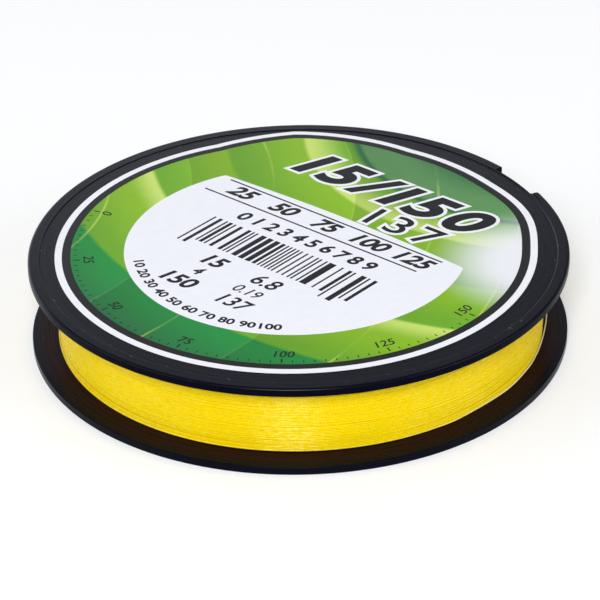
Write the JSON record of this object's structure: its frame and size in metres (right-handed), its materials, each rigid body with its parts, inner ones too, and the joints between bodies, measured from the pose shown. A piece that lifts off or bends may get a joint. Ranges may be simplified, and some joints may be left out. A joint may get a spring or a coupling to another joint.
{
  "type": "fishing line spool",
  "caption": "Flat filler spool of braided fishing line: two black moulded flanges, yellow line wound between them, round printed label.",
  "frame": {"origin": "centre of the back face, on the plane that the spool stands on", "axes": "+Z along the spool's axis towards the labelled front face; +X points about 23 degrees clockwise of the rim notch's near end, seen from the front"},
  "size_m": [0.089, 0.089, 0.0156],
  "materials": {
    "front_plastic": "black moulded plastic, satin gloss",
    "back_plastic": "black moulded plastic, satin gloss",
    "label_film": "printed label, green with a white panel, satin film",
    "wound_line": "close-wound yellow braided line",
    "loose_line": "single strand of yellow braided line",
    "tape_film": "thin pale tape"
  },
  "bodies": {
    "root": {"front_half": "front_plastic", "back_half": "back_plastic", "front_label": "label_film", "line_winding": "wound_line", "line_tail": "loose_line", "start_tape": "tape_film"}
  },
  "joints": []
}
